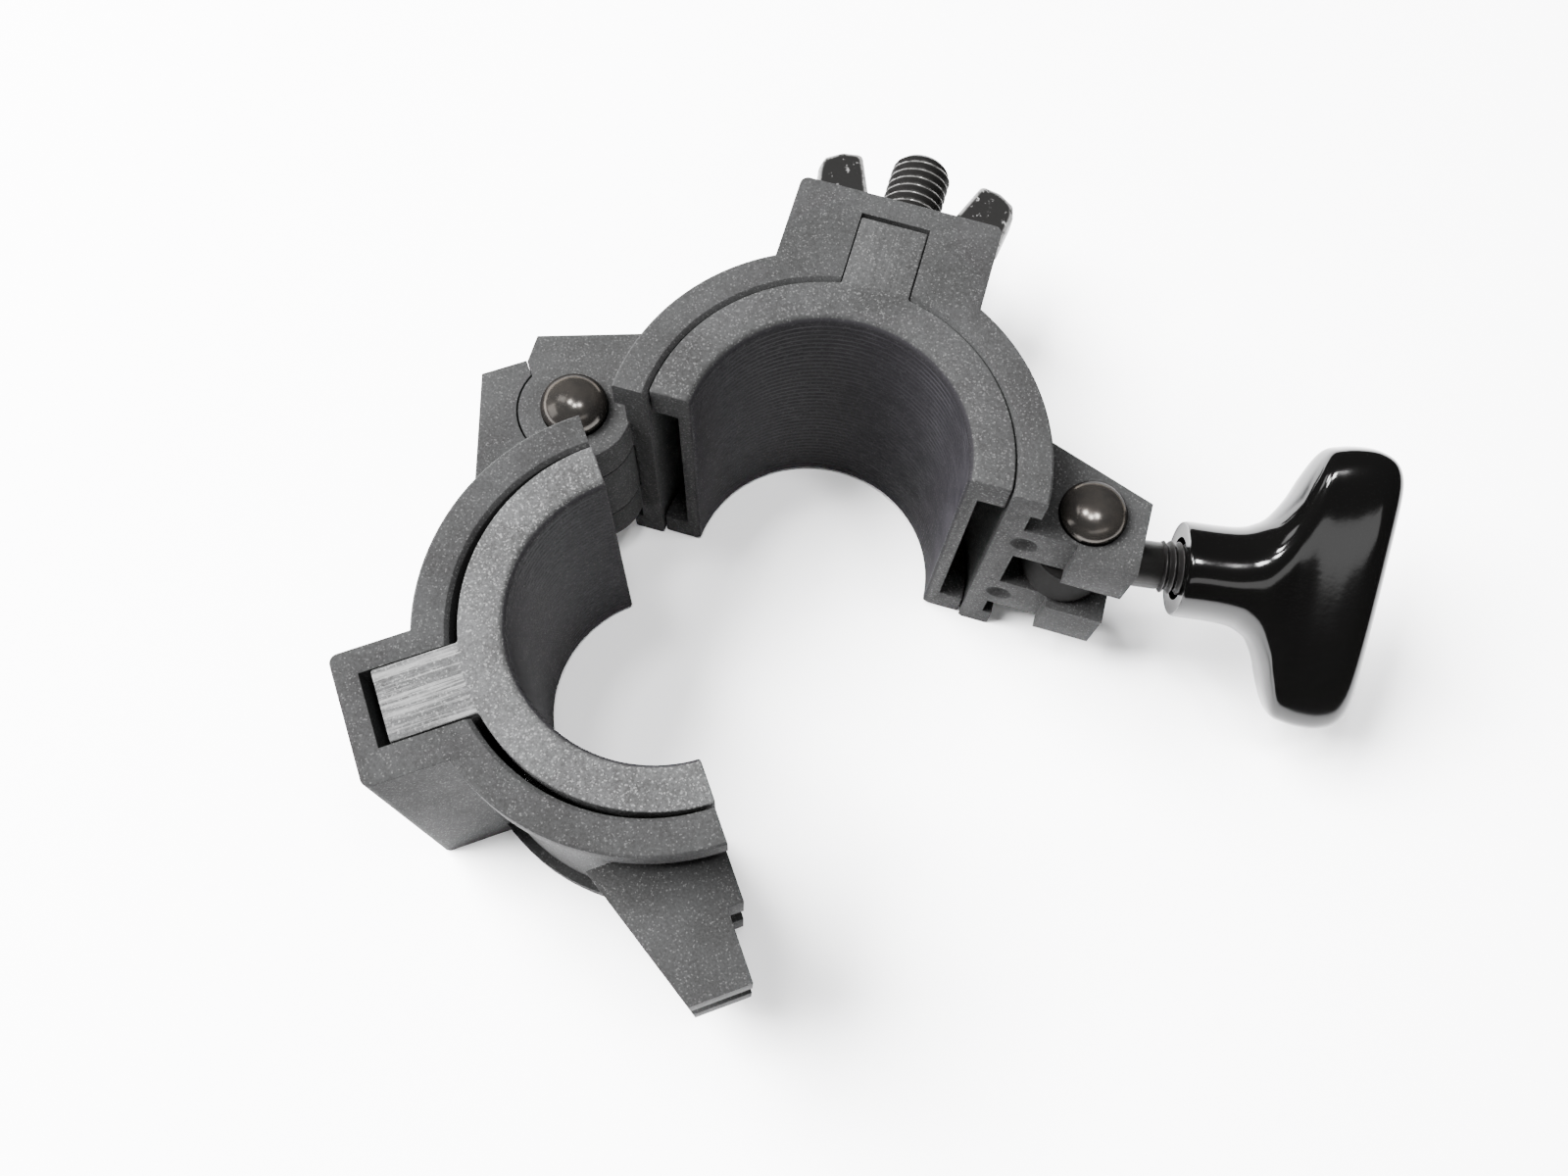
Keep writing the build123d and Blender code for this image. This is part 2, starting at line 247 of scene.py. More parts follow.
def oxide_steel(name, base, shine, roughness, lump, seat=None):
    """Black oxide steel: slightly brown and finely uneven; painted shade makes it near black in the first mm
    above its seat.
    """
    make = Finish(name)
    cloud = make.noise(lump, 4.0, 0.6)
    fine = make.noise(lump * 0.12, 3.0)
    colour = make.mix(cloud.step(0.35, 0.7), grey(base, 0.06), grey(shine, 0.10))
    if seat is not None:
        # Painted shade at the foot of the dome: near black in the first mm above the seat.
        height = make.distance(make.place, "Z")
        colour = make.mix(height.step(seat + 1.3, seat + 0.6), colour, grey(0.002))
    return make.finish(
        Base_Color=colour,
        Metallic=0.85,
        Specular_Tint=(0.25, 0.24, 0.22, 1.0),
        Roughness=roughness + cloud * 0.12 + fine * 0.06,
        Normal=make.bump(cloud * 0.7 + fine * 0.3, 0.03, 0.35),
    )


def threaded_steel(name, across, place, crest, root, wear, angle=0.0):
    """Black zinc thread with worn crests; across names the two axes square to it."""
    make = Finish(name)
    radius = make.distance(make.turned(place, angle), *across)
    patch = make.noise(2.2, 4.0, 0.7)
    crown = radius.step(root + (crest - root) * 0.86, crest) * radius.step(crest + 0.3, crest + 0.1)
    worn = crown * (patch.step(0.3, 0.62) * 0.75 + 0.25) * wear
    fine = make.noise(0.25, 3.0)
    colour = make.mix(worn, grey(0.010, 0.03), grey(0.30, 0.02))
    return make.finish(
        Base_Color=colour,
        Metallic=0.5 + worn * 0.5,
        Specular_IOR_Level=0.3,
        Specular_Tint=(0.3, 0.3, 0.3, 1.0),
        Roughness=0.36 - worn * 0.06 + fine * 0.08,
        Normal=make.bump(fine, 0.02, 0.4),
    )


def matt_black(name):
    """The swing bolt's forged eye, made near black and almost without gloss."""
    make = Finish(name)
    scale = make.noise(1.2, 4.0, 0.6)
    return make.finish(
        Base_Color=make.mix(scale, grey(0.0015, 0.02), grey(0.005, 0.02)),
        Specular_IOR_Level=0.04,
        Roughness=0.8 + scale * 0.15,
        Normal=make.bump(scale, 0.04, 0.5),
    )


def cast_black(name):
    """Black zinc over a rough casting, bright where corners have rubbed."""
    make = Finish(name)
    patch = make.noise(1.6, 5.0, 0.7)
    pits = make.noise(0.45, 3.0, 0.6)
    rubbed = make.edges(0.505, 0.54) * patch.step(0.36, 0.55)
    chips = patch.step(0.6, 0.7) * 0.5
    bare = (rubbed + chips).least(1.0)
    colour = make.mix(bare, grey(0.004, 0.02), grey(0.34, 0.01))
    return make.finish(
        Base_Color=colour,
        Metallic=0.1 + bare * 0.9,
        Specular_IOR_Level=0.15,
        Roughness=0.36 - bare * 0.1 + pits * 0.1,
        Normal=make.bump(pits * 0.6 + patch * 0.4, 0.08, 0.5),
    )


def gloss_knob(name):
    """Gloss black moulding with shallow sink marks and hairline scuffs."""
    make = Finish(name)
    swell = make.noise(14.0, 2.0, 0.4)
    peel = make.noise(0.9, 3.0, 0.5)
    dust = make.noise(5.0, 6.0, 0.75)
    hair = make.noise(3.0, 5.0, 0.8, make.turned((0.0, 0.0, 0.0), 0.6, (1.0, 16.0, 4.0)))
    scuff = hair.step(0.66, 0.74) * dust.step(0.45, 0.62)
    colour = make.mix(scuff * 0.5, grey(0.0008, 0.02), grey(0.012))
    return make.finish(
        Base_Color=colour,
        Roughness=0.1 + swell.step(0.4, 0.8) * 0.05 + scuff * 0.16,
        Specular_IOR_Level=0.32,
        Normal=make.bump(swell * 0.8 + peel * 0.2, 0.12, 0.2),
    )


def ribbed_bore(name):
    """Plastic of the bore's ribs, darkened to near black as painted shade of the bore, and lighter where
    slightly polished.
    """
    make = Finish(name)
    rub = make.noise(6.0, 4.0, 0.6)
    fine = make.noise(0.5, 3.0)
    # Painted shade: the ribs' near-black colour stands in for the shade inside the bore.
    colour = make.mix(rub.step(0.35, 0.7), (0.0055, 0.0052, 0.0062, 1.0), (0.011, 0.0104, 0.012, 1.0))
    return make.finish(
        Base_Color=colour,
        Specular_IOR_Level=0.16,
        Roughness=0.45 + rub * 0.12,
        Normal=make.bump(fine, 0.02, 0.4),
    )


def table_top(name):
    """Matt white table."""
    make = Finish(name)
    fibre = make.noise(3.0, 4.0)
    return make.finish(
        Base_Color=make.mix(fibre, (0.92, 0.92, 0.93, 1.0), (0.94, 0.94, 0.95, 1.0)),
        Roughness=0.8,
        Normal=make.bump(fibre, 0.02, 0.1),
    )


# ---------------------------------------------------------------- mesh making

def new_object(name, mesh):
    """A mesh's object, put in the scene."""
    made = bpy.data.objects.new(name, mesh)
    bpy.context.scene.collection.objects.link(made)
    return made


def from_bmesh(name, shape):
    """Object of a shape, which is used up."""
    mesh = bpy.data.meshes.new(name)
    shape.to_mesh(mesh)
    shape.free()
    return new_object(name, mesh)


def settle(piece):
    """Turns a piece and its live modifiers into one plain mesh."""
    bpy.context.view_layer.update()
    plain = bpy.data.meshes.new_from_object(piece.evaluated_get(bpy.context.evaluated_depsgraph_get()))
    plain.name = piece.name
    piece.modifiers.clear()
    piece.data = plain
    return piece


def smooth_by_angle(piece, degrees):
    """Shades smooth and marks edges sharper than the angle."""
    mesh = piece.data
    for face in mesh.polygons:
        face.use_smooth = True
    shape = bmesh.new()
    shape.from_mesh(mesh)
    limit = math.radians(degrees)
    for edge in shape.edges:
        edge.smooth = not (len(edge.link_faces) == 2 and edge.calc_face_angle() > limit)
    shape.to_mesh(mesh)
    shape.free()
    return piece


def lathe(name, profile, place, steps=96):
    """Closed turned piece on +Z, moved to place.

    The profile's (radius, height) points, in mm, run from axis to axis, or round a ring's section.
    """
    shape = bmesh.new()
    rows = []
    for radius, height in profile:
        if radius < 1e-6:
            rows.append([shape.verts.new((0.0, 0.0, height * MM))])
            continue
        row = []
        for step in range(steps):
            turn = 2.0 * math.pi * step / steps
            across = (radius * MM * math.cos(turn), radius * MM * math.sin(turn))
            row.append(shape.verts.new((*across, height * MM)))
        rows.append(row)
    pairs = list(zip(rows, rows[1:]))
    if len(rows[0]) > 1:
        pairs.append((rows[-1], rows[0]))
    for below, above in pairs:
        for step in range(steps):
            after = (step + 1) % steps
            corners = [below[step % len(below)], below[after % len(below)]]
            corners += [above[after % len(above)], above[step % len(above)]]
            corners = list(dict.fromkeys(corners))
            if len(corners) > 2:
                shape.faces.new(corners)
    bmesh.ops.recalc_face_normals(shape, faces=shape.faces)
    shape.transform(place)
    return from_bmesh(name, shape)


def prism(name, outline, low, high, place=Matrix()):
    """Flat-sided piece on a closed outline in mm."""
    shape = bmesh.new()
    base = shape.faces.new([shape.verts.new((x * MM, y * MM, low * MM)) for x, y in outline])
    grown = bmesh.ops.extrude_face_region(shape, geom=[base])
    lifted = [item for item in grown["geom"] if isinstance(item, bmesh.types.BMVert)]
    bmesh.ops.translate(shape, verts=lifted, vec=(0.0, 0.0, (high - low) * MM))
    bmesh.ops.recalc_face_normals(shape, faces=shape.faces)
    shape.transform(place)
    return from_bmesh(name, shape)


def combine(piece, other, operation):
    """Boolean with a helper, which is then thrown away."""
    step = piece.modifiers.new("combine", "BOOLEAN")
    step.operation = operation
    step.solver = "EXACT"
    step.object = other
    settle(piece)
    bpy.data.objects.remove(other)
    return piece


def melt(piece, voxel, rounds):
    """Joins a piece's parts into one skin and rounds its corners."""
    skin = piece.modifiers.new("skin", "REMESH")
    skin.mode = "VOXEL"
    skin.voxel_size = voxel * MM
    ease = piece.modifiers.new("ease", "SMOOTH")
    ease.factor = 0.5
    ease.iterations = rounds
    settle(piece)
    for face in piece.data.polygons:
        face.use_smooth = True
    return piece


def broken_edges(node, name, width):
    """Copy of a CAD node with its flat faces joined and its sharp edges rounded over width mm."""
    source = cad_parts[node]
    shape = bmesh.new()
    shape.from_mesh(source.data)
    bmesh.ops.remove_doubles(shape, verts=shape.verts, dist=2e-6)
    every = {"verts": list(shape.verts), "edges": list(shape.edges)}
    bmesh.ops.dissolve_limit(shape, angle_limit=math.radians(0.4), **every)
    piece = from_bmesh(name, shape)
    rounding = piece.modifiers.new("rounding", "BEVEL")
    rounding.width = width * MM
    rounding.segments = 3
    rounding.limit_method = "ANGLE"
    rounding.angle_limit = math.radians(28.0)
    rounding.use_clamp_overlap = True
    rounding.miter_outer = "MITER_ARC"
    settle(piece)
    return smooth_by_angle(piece, 24.0)


def put_on(piece, material, body, node):
    """Dresses a piece, hides the CAD node it stands for, and lets it ride."""
    piece.data.materials.clear()
    piece.data.materials.append(material)
    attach(piece, body)
    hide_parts(node)


# ---------------------------------------------------------------- camera, light, table

camera = bpy.data.objects.new("camera", bpy.data.cameras.new("camera"))
bpy.context.scene.collection.objects.link(camera)
camera.data.sensor_width = 36.0
camera.data.lens = 31.88
camera.data.clip_start = 0.01
camera.data.clip_end = 10.0
camera.location = Vector((11.59, -79.09, 192.6)) * MM
camera.rotation_euler = [math.radians(angle) for angle in (19.418, -1.718, 16.104)]
bpy.context.scene.camera = camera

world = bpy.data.worlds.new("studio")
world.use_nodes = True
world.node_tree.nodes["Background"].inputs["Color"].default_value = (1.0, 1.0, 1.0, 1.0)
world.node_tree.nodes["Background"].inputs["Strength"].default_value = 0.1
bpy.context.scene.world = world


def soft_light(name, place, target, size, power, mirrored=True):
    """Area light aimed at a target; gloss shows it only where mirrored is true."""
    lamp = bpy.data.lights.new(name, "AREA")
    lamp.shape = "RECTANGLE"
    lamp.size, lamp.size_y = size
    lamp.energy = power
    holder = bpy.data.objects.new(name, lamp)
    bpy.context.scene.collection.objects.link(holder)
    holder.location = place
    holder.rotation_euler = (Vector(target) - Vector(place)).to_track_quat("-Z", "Y").to_euler()
    holder.visible_glossy = mirrored


soft_light("ceiling", (-0.75, 0.05, 0.95), (0.0, 0.0, 0.0), (0.9, 0.7), 215.0, mirrored=False)
soft_light("panel", (0.418, -0.515, 0.642), (0.065, 0.008, 0.0), (0.80, 0.17), 1.4)
soft_light("card", (-0.55, 0.10, 0.75), (0.0, 0.0, 0.0), (0.22, 0.32), 1.5)
soft_light("fill", (-0.80, -0.35, 0.35), (0.0, 0.0, 0.0), (0.5, 0.5), 4.0)
for place in ((-0.22, 0.05, 1.0), (0.02, -0.06, 1.05), (0.22, 0.04, 1.0)):
    soft_light("lamp", place, (0.0, 0.0, 0.0), (0.12, 0.12), 7.0)

table = bmesh.new()
bmesh.ops.create_grid(table, x_segments=2, y_segments=2, size=3.0)
bmesh.ops.translate(table, verts=table.verts, vec=(0.0, 0.0, REST_Z))
table = from_bmesh("table", table)
table.data.materials.append(table_top("table white"))


# ---------------------------------------------------------------- finishes

shell_plastic = moulded_plastic(
    "shell plastic", base=0.0078, lift=0.019, sparkle=0.12, grain=0.34, sheen=0.09)
# Both sleeves get painted shade in their bores, about the centre given.
fixed_sleeve = moulded_plastic(
    "fixed sleeve plastic", base=0.0085, lift=0.021, sparkle=0.2, grain=0.4, sheen=0.09,
    centre=(0.0, 0.0, 0.0), key_angle=0.0, scrape=0.12)
swinging_sleeve = moulded_plastic(
    "swinging sleeve plastic", base=0.012, lift=0.041, sparkle=0.22, grain=0.4, sheen=0.1,
    centre=LOWER_BORE, key_angle=OPEN_ANGLE, scrape=1.0)
shaded_rib_plastic = ribbed_bore("bore ribs")
# The caps get painted shade just above their seat at 15 mm.
cap_oxide = oxide_steel("cap oxide", base=0.030, shine=0.042, roughness=0.09, lump=3.0, seat=15.0)
pin_oxide = oxide_steel("pin oxide", base=0.03, shine=0.07, roughness=0.3, lump=2.0)
washer_oxide = oxide_steel("shank oxide", base=0.015, shine=0.04, roughness=0.2, lump=2.5)
stud_steel = threaded_steel("stud thread", "XZ", (0.0, 0.0, 0.0), STUD_THREAD[0], STUD_THREAD[1], 1.0)
swing_steel = threaded_steel("swing thread", "YZ", LATCH, SWING_THREAD[0], SWING_NECK, 0.12, SWING_ANGLE)
nut_casting = cast_black("nut casting")
eye_black = matt_black("eye black")
knob_gloss = gloss_knob("knob gloss")

# ---------------------------------------------------------------- mouldings

# The lower sleeve's key, in mm: its end lies past KEY_END from the bore's centre, its inner end lies within
# KEY_INNER_END of the middle plane, and that inner end is moved out by KEY_SLANT
KEY_END = 34.5
KEY_INNER_END = 12.0
KEY_SLANT = 0.9


def slant_key(sleeve):
    """Moves the inner end of the lower sleeve's key outwards, so that the key's end face slants."""
    outwards = Matrix.Rotation(OPEN_ANGLE, 3, "Z") @ Vector((0.0, -1.0, 0.0))
    for vertex in sleeve.data.vertices:
        if (vertex.co - LOWER_BORE).length > KEY_END * MM and abs(vertex.co.z) < KEY_INNER_END * MM:
            vertex.co += outwards * KEY_SLANT * MM


for node, name, body, material, slot in (
    ("upper_shell", "fixed_half", "upper_half", shell_plastic, "shell"),
    ("lower_shell", "swinging_half", "lower_jaw", shell_plastic, "shell"),
    ("upper_liner", "fixed_sleeve", "upper_sleeve", fixed_sleeve, "liner"),
    ("lower_liner", "swinging_sleeve", "lower_sleeve", swinging_sleeve, "liner"),
):
    moulding = broken_edges(node, name, 0.3)
    if node == "lower_liner":
        slant_key(moulding)
    put_on(moulding, material, body, node)


# ---------------------------------------------------------------- ribs moulded in the bore

def rib_tree():
    """Geometry Nodes: one thin half hoop, repeated along the bore."""
    tree = bpy.data.node_groups.new("bore ribs", "GeometryNodeTree")
    sockets = {}
    for name, kind in (
        ("Radius", "NodeSocketFloat"),
        ("Thickness", "NodeSocketFloat"),
        ("Pitch", "NodeSocketFloat"),
        ("Count", "NodeSocketInt"),
        ("Start", "NodeSocketFloat"),
        ("Sweep", "NodeSocketFloat"),
        ("Finish", "NodeSocketMaterial"),
    ):
        sockets[name] = tree.interface.new_socket(name, in_out="INPUT", socket_type=kind).identifier
    tree.interface.new_socket("Geometry", in_out="OUTPUT", socket_type="NodeSocketGeometry")
    bench = Bench(tree)
    given = bench.node("NodeGroupInput")
    count = given.also("Count")
    pitch = given.also("Pitch")
    hoop = bench.node("GeometryNodeCurveArc", {"mode": "RADIUS"}, {
        "Resolution": 96, "Radius": given.also("Radius"),
        "Start Angle": given.also("Start"), "Sweep Angle": given.also("Sweep")})
    section = bench.node("GeometryNodeCurvePrimitiveCircle", {"mode": "RADIUS"}, {
        "Resolution": 6, "Radius": given.also("Thickness")})
    rib = bench.node("GeometryNodeCurveToMesh", None, {
        "Curve": hoop, "Profile Curve": section, "Fill Caps": True})
    first = bench.node("ShaderNodeCombineXYZ", None, {"Z": (count - 1.0) * pitch * -0.5})
    step = bench.node("ShaderNodeCombineXYZ", None, {"Z": pitch})
    row = bench.node("GeometryNodeMeshLine", {"mode": "OFFSET"}, {
        "Count": count, "Start Location": first, "Offset": step})
    ribs = bench.node("GeometryNodeInstanceOnPoints", None, {"Points": row, "Instance": rib})
    whole = bench.node("GeometryNodeRealizeInstances", None, {"Geometry": ribs})
    finish = given.also("Finish")
    dressed = bench.node("GeometryNodeSetMaterial", None, {"Geometry": whole, "Material": finish})
    bench.node("NodeGroupOutput", None, {"Geometry": dressed})
    return tree, sockets


rib_group, rib_sockets = rib_tree()


def ribbed(name, node, body, place, start):
    """Ribs round one sleeve's half of the bore, from the start angle in degrees."""
    ribs = new_object(name, bpy.data.meshes.new(name))
    grow = ribs.modifiers.new("grow", "NODES")
    grow.node_group = rib_group
    values = {"Radius": 19.3 * MM, "Thickness": 0.2 * MM, "Pitch": 1.15 * MM, "Count": 41}
    values.update({"Start": math.radians(start), "Sweep": math.radians(174.0), "Finish": shaded_rib_plastic})
    for key, value in values.items():
        grow[rib_sockets[key]] = value
    settle(ribs)
    shape = bmesh.new()
    shape.from_mesh(ribs.data)
    bmesh.ops.recalc_face_normals(shape, faces=shape.faces)
    shape.transform(place)
    shape.to_mesh(ribs.data)
    shape.free()
    smooth_by_angle(ribs, 50.0)
    put_on(ribs, shaded_rib_plastic, body, node)


lower_bore_place = Matrix.Translation(LOWER_BORE) @ Matrix.Rotation(OPEN_ANGLE, 4, "Z")
ribbed("fixed_bore_ribs", "upper_liner", "upper_sleeve", Matrix(), 3.0)
ribbed("swinging_bore_ribs", "lower_liner", "lower_sleeve", lower_bore_place, 183.0)


# ---------------------------------------------------------------- turned pieces

def along(direction, place=Vector()):
    """Moves a piece drawn on +Z to lie along a direction from a place."""
    return Matrix.Translation(place) @ Vector(direction).to_track_quat("Z", "Y").to_matrix().to_4x4()


CAP_RADIUS = 4.8
CAP_LIP = 0.5
CAP_BORE = 3.02
CAP_BORE_DEPTH = 1.8


def cap_profile(height):
    """Push-on cap: a blind bore, a short lip and a dome of the given height."""
    foot = 0.15
    steps = 14
    points = [(0.0, CAP_BORE_DEPTH), (CAP_BORE, CAP_BORE_DEPTH), (CAP_BORE, 0.0)]
    points += [(CAP_RADIUS - foot, 0.0), (CAP_RADIUS, foot), (CAP_RADIUS, CAP_LIP)]
    for step in range(1, steps):
        turn = 0.5 * math.pi * step / steps
        points.append((CAP_RADIUS * math.cos(turn), CAP_LIP + (height - CAP_LIP) * math.sin(turn)))
    return points + [(0.0, height)]


for centre, node, height, up in (
    (HINGE, "hinge_cap_near", 4.2, 1),
    (HINGE, "hinge_cap_far", 3.1, -1),
    (LATCH, "latch_cap_near", 3.4, 1),
    (LATCH, "latch_cap_far", 3.1, -1),
):
    seat = Vector((centre.x, centre.y, up * LUG_FACE))
    turned = lathe(node.replace("cap", "dome"), cap_profile(height), along((0, 0, up), seat))
    smooth_by_angle(turned, 35.0)
    put_on(turned, cap_oxide, "upper_half", node)

for node in ("hinge_pin", "latch_pin"):
    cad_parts[node].data.materials.clear()
    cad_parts[node].data.materials.append(pin_oxide)


# ---------------------------------------------------------------- threads

def thread_shape(crest, root, pitch, low, high, tip):
    """True helical thread on +Z, its ends closed and its outer end tapered over tip mm."""
    sides = 72
    rows_per_turn = 14
    flank = 2.6
    root_flat = 0.18
    start = 0.4
    shape = bmesh.new()
    rows = int((high - low) / pitch * rows_per_turn)
    grid = []
    for row in range(rows + 1):
        height = low + (high - low) * row / rows
        ring = []
        for side in range(sides):
            turn = side / sides
            phase = (height / pitch - turn) % 1.0
            ridge = min(1.0, max(0.0, (0.5 - abs(phase - 0.5)) * flank - root_flat))
            radius = root + (crest - root) * ridge
            radius = min(radius, crest - max(0.0, height - (high - tip)) * 0.85)
            radius = min(radius, crest - max(0.0, (low + start) - height) * 1.2)
            angle = 2.0 * math.pi * turn
            across = (radius * MM * math.cos(angle), radius * MM * math.sin(angle))
            ring.append(shape.verts.new((*across, height * MM)))
        grid.append(ring)
    for below, above in zip(grid, grid[1:]):
        for side in range(sides):
            after = (side + 1) % sides
            shape.faces.new((below[side], below[after], above[after], above[side]))
    for ring, height in ((grid[0], low), (grid[-1], high)):
        middle = shape.verts.new((0.0, 0.0, height * MM))
        for side in range(sides):
            shape.faces.new((ring[side], ring[(side + 1) % sides], middle))
    bmesh.ops.recalc_face_normals(shape, faces=shape.faces)
    return shape


def join(name, pieces):
    """One object from several, each kept closed."""
    whole = bmesh.new()
    for piece in pieces:
        whole.from_mesh(piece.data)
    joined = from_bmesh(name, whole)
    for piece in pieces:
        bpy.data.objects.remove(piece)
    return joined


def threaded(name, place, thread, low, high, tip):
    """A thread between two heights in mm, moved to place."""
    shape = thread_shape(*thread, low, high, tip)
    shape.transform(place)
    return smooth_by_angle(from_bmesh(name, shape), 50.0)


def hexagon(flats):
    """Outline of a hexagon of the given size across its flats."""
    reach = flats / math.sqrt(3.0)
    return [(reach * math.cos(k * math.pi / 3), reach * math.sin(k * math.pi / 3)) for k in range(6)]


stud_place = along((0, 1, 0))
stud_radius = STUD_THREAD[0]
stud = join("mounting_stud", [
    prism("stud_head", hexagon(16.0), 26.0, 31.6, stud_place),
    lathe("stud_neck", [(0.0, 31.2), (stud_radius, 31.2), (stud_radius, 37.4), (0.0, 37.4)], stud_place, 72),
    threaded("stud_thread", stud_place, STUD_THREAD, 37.0, 64.6, 1.1),
])
smooth_by_angle(stud, 40.0)
put_on(stud, stud_steel, "upper_half", "mounting_bolt")

# ---------------------------------------------------------------- swing bolt

swing_place = Matrix.Translation(LATCH) @ Matrix.Rotation(SWING_ANGLE, 4, "Z")
swing_axis = swing_place @ Matrix.Rotation(math.radians(90.0), 4, "Y")
EYE_PROFILE = [(3.06, -4.5), (5.8, -4.5), (6.2, -4.1), (6.2, 4.1), (5.8, 4.5), (3.06, 4.5)]
SHANK_PROFILE = [(0.0, 5.0), (3.55, 5.0), (3.55, 13.3), (SWING_NECK, 13.7), (0.0, 13.7)]
eye = lathe("eye", EYE_PROFILE, swing_place)
shank = lathe("shank", SHANK_PROFILE, swing_axis, 72)
eye_bolt = combine(eye, shank, "UNION")
smooth_by_angle(eye_bolt, 30.0)
swing = join("swing_eye_bolt", [
    eye_bolt,
    threaded("swing_thread", swing_axis, SWING_THREAD, 13.3, 37.0, 0.9),
])
smooth_by_angle(swing, 40.0)
put_on(swing, swing_steel, "bolt_arm", "swing_bolt")
swing.data.materials.append(eye_black)
EYE_REACH = 6.6 * MM
for face in swing.data.polygons:
    if (face.center.xy - LATCH.xy).length < EYE_REACH:
        face.material_index = 1

# ---------------------------------------------------------------- knob

knob_place = swing_place @ Matrix.Translation((KNOB_FRONT, 0.0, 0.0)) @ Matrix.Rotation(KNOB_ROLL, 4, "X")
# The knob's sections: distance from the hub's front, half width and half thickness in mm, and squareness
KNOB_SECTIONS = [
    (0.0, 6.7, 6.7, 2.0), (0.4, 7.15, 7.15, 2.0), (5.0, 7.2, 7.2, 2.0), (8.0, 7.4, 7.2, 2.05),
    (10.0, 8.0, 7.1, 2.1), (12.2, 9.5, 6.9, 2.3), (14.2, 12.9, 6.5, 2.6), (15.5, 17.0, 6.2, 2.8),
    (16.8, 20.2, 6.0, 2.95), (18.6, 21.1, 5.8, 3.05), (21.0, 21.5, 5.7, 3.1), (23.5, 21.4, 5.6, 3.1),
    (26.0, 20.4, 5.35, 3.1), (27.8, 18.4, 4.7, 3.0), (28.8, 15.6, 3.6, 2.8), (29.3, 12.1, 1.9, 2.5),
    (29.45, 8.0, 0.9, 2.3),
]


def between(rows, steps):
    """Rows with smooth ones added between them."""
    made = []
    for index in range(len(rows) - 1):
        a, b, c, d = (rows[min(max(index + k - 1, 0), len(rows) - 1)] for k in range(4))
        for step in range(steps):
            t = step / steps
            row = []
            for p, q, r, w in zip(a, b, c, d):
                bend = (2.0 * p - 5.0 * q + 4.0 * r - w) * t * t + (3.0 * q - p - 3.0 * r + w) * t ** 3
                row.append((2.0 * q + (r - p) * t + bend) * 0.5)
            made.append(tuple(row))
    return made + [rows[-1]]


def bulge(value, power):
    """A power of a value's size that keeps its sign."""
    return math.copysign(abs(value) ** power, value)


# The wings' sweep, in mm: where along the hub they start, are full and end, their reach, how far their
# front curves back, and how much further their back does
WING_START = 8.0
WING_FULL = 16.0
WING_END = 29.0
WING_REACH = 21.3
FRONT_SWEEP = 1.06
BACK_SWEEP = 0.94
SWEEP_POWER = 3.6


def swept(distance, across):
    """How far, in mm, the wings curve back at a distance from the hub's front and from the axis."""
    share = min(1.0, max(0.0, (distance - WING_START) / (WING_FULL - WING_START)))
    back = min(1.0, max(0.0, (distance - WING_FULL) / (WING_END - WING_FULL)))
    ease = share * share * (3.0 - 2.0 * share)
    return (FRONT_SWEEP + BACK_SWEEP * back) * ease * (abs(across) / WING_REACH) ** SWEEP_POWER


def sectioned(name, sections):
    """Skin over rounded-square sections along +X, closed at both ends, its wings swept back."""
    sides = 112
    shape = bmesh.new()
    rings = []
    for along_x, wide, thick, square in sections:
        ring = []
        for side in range(sides):
            turn = 2.0 * math.pi * side / sides
            y = wide * bulge(math.cos(turn), 2.0 / square)
            z = thick * bulge(math.sin(turn), 2.0 / square)
            ring.append(shape.verts.new(((along_x + swept(along_x, y)) * MM, y * MM, z * MM)))
        rings.append(ring)
    for below, above in zip(rings, rings[1:]):
        for side in range(sides):
            after = (side + 1) % sides
            shape.faces.new((below[side], below[after], above[after], above[side]))
    for ring, along_x in ((rings[0], sections[0][0]), (rings[-1], sections[-1][0] + 0.03)):
        middle = shape.verts.new((along_x * MM, 0.0, 0.0))
        for side in range(sides):
            shape.faces.new((ring[side], ring[(side + 1) % sides], middle))
    bmesh.ops.recalc_face_normals(shape, faces=shape.faces)
    return from_bmesh(name, shape)


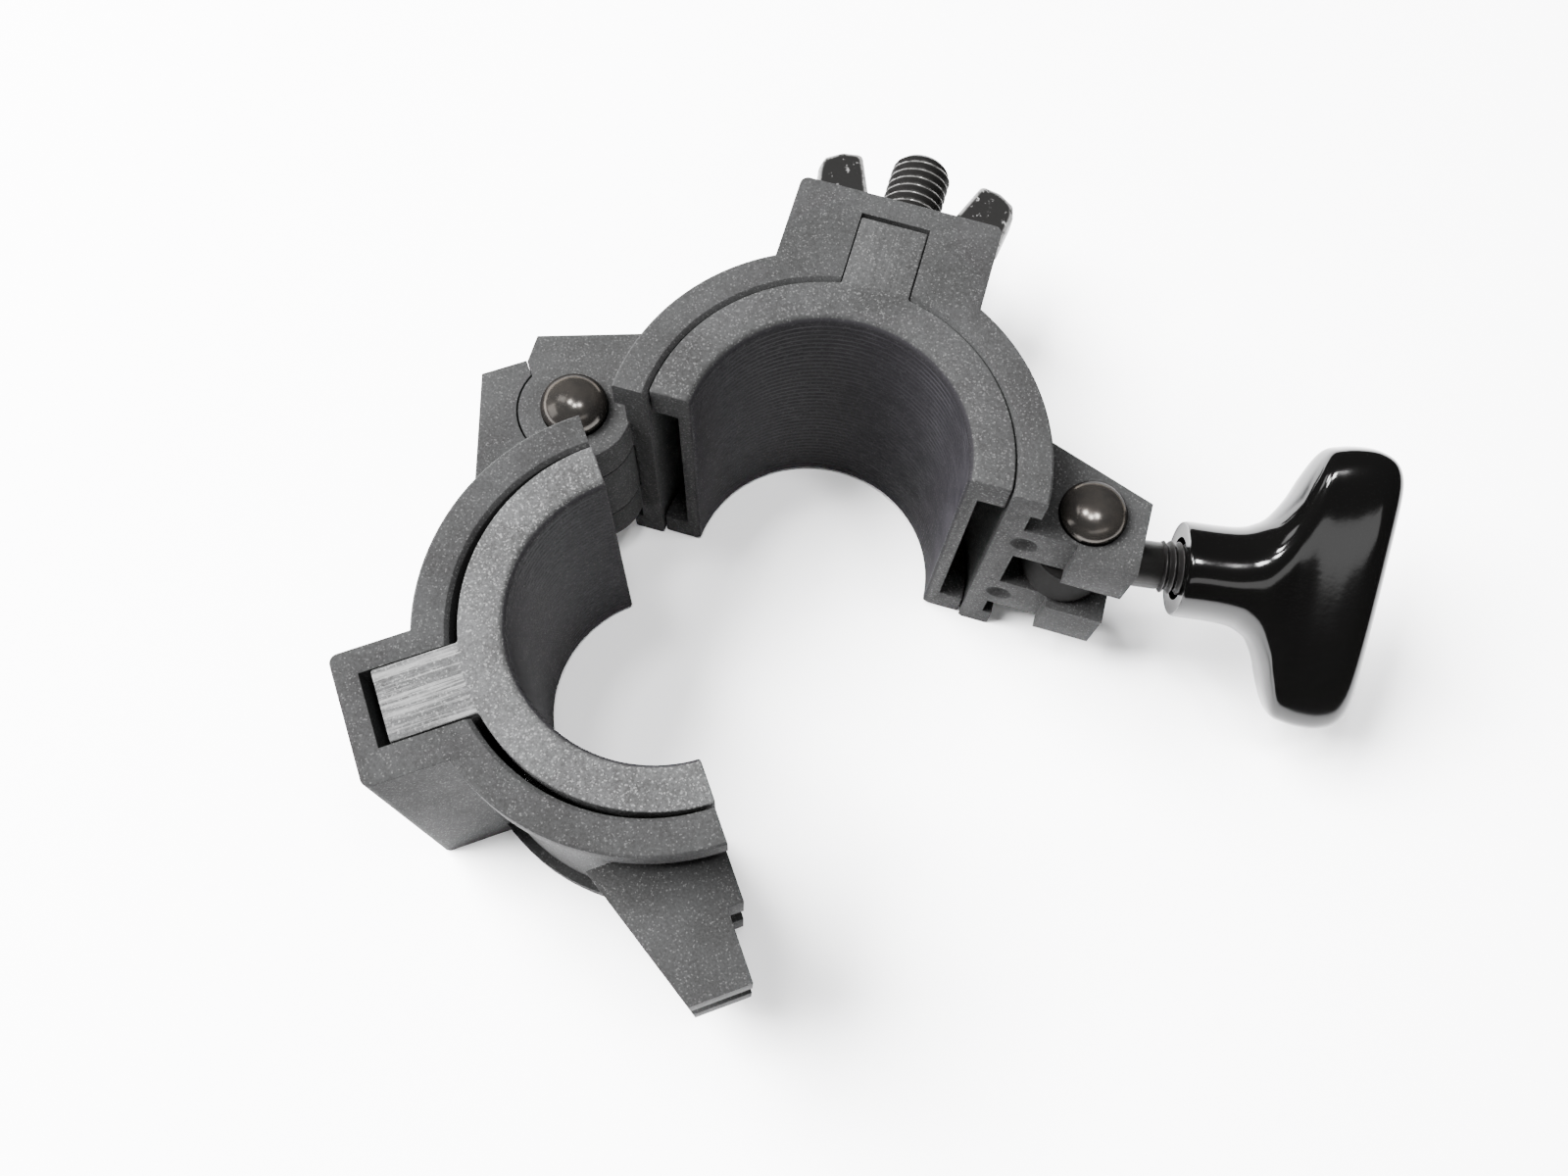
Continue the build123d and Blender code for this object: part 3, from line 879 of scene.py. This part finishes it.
hub_turn = Matrix.Rotation(math.radians(90.0), 4, "Y")
MOUTH_PROFILE = [(0.0, -1.0), (4.75, -1.0), (4.75, 19.4), (4.3, 19.4), (4.3, 25.5), (0.0, 25.5)]
grip = sectioned("wing_knob", between(KNOB_SECTIONS, 5))
mouth = lathe("mouth", MOUTH_PROFILE, hub_turn, 72)
combine(grip, mouth, "DIFFERENCE")
grip.data.transform(knob_place)
smooth_by_angle(grip, 35.0)
put_on(grip, knob_gloss, "knob_grip", "knob")

bush = lathe("knob_bush", [(4.0, 4.0), (4.4, 4.0), (4.4, 19.0), (4.0, 19.0)], knob_place @ hub_turn, 72)
smooth_by_angle(bush, 35.0)
put_on(bush, pin_oxide, "knob_carrier", "knob_insert")

# ---------------------------------------------------------------- washer and wing nut

WASHER_PROFILE = [(5.25, 0.2), (5.45, 0.0), (9.8, 0.0), (10.0, 0.2)]
WASHER_PROFILE += [(10.0, 1.8), (9.8, 2.0), (5.45, 2.0), (5.25, 1.8)]
washer = lathe("stud_washer", WASHER_PROFILE, along((0, 1, 0), Vector((0.0, BOSS_FACE, 0.0))))
smooth_by_angle(washer, 35.0)
put_on(washer, washer_oxide, "washer_ring", "mounting_washer")

# One wing of the nut, and its hub, in mm from the pipe's axis
WING = [(5.2, 50.2), (7.0, 55.6), (9.9, 62.9), (10.6, 63.2), (13.4, 62.7), (15.9, 61.0), (16.4, 58.8)]
WING += [(15.5, 52.8), (12.4, 46.6), (8.2, 43.2), (4.6, 43.0), (4.2, 46.0)]
WING_HALF_THICKNESS = 2.1
HUB_PROFILE = [(0.0, 42.0), (9.2, 42.0), (9.5, 42.4), (9.3, 43.4), (7.9, 50.6), (7.4, 51.4), (0.0, 51.6)]
wings = []
for hand in (1, -1):
    outline = [(hand * x, y) for x, y in WING]
    ear = prism("ear", outline, -WING_HALF_THICKNESS, WING_HALF_THICKNESS)
    soften = ear.modifiers.new("soften", "BEVEL")
    soften.width = 0.6 * MM
    soften.segments = 4
    soften.limit_method = "ANGLE"
    soften.angle_limit = math.radians(60.0)
    wings.append(settle(ear))
barrel = lathe("barrel", HUB_PROFILE, stud_place)
nut = join("wing_nut_casting", wings + [barrel])
melt(nut, 0.25, 3)
nut_bore = lathe("nut_bore", [(0.0, 40.0), (4.95, 40.0), (4.95, 70.0), (0.0, 70.0)], stud_place, 72)
combine(nut, nut_bore, "DIFFERENCE")
smooth_by_angle(nut, 35.0)
put_on(nut, nut_casting, "nut", "wing_nut")
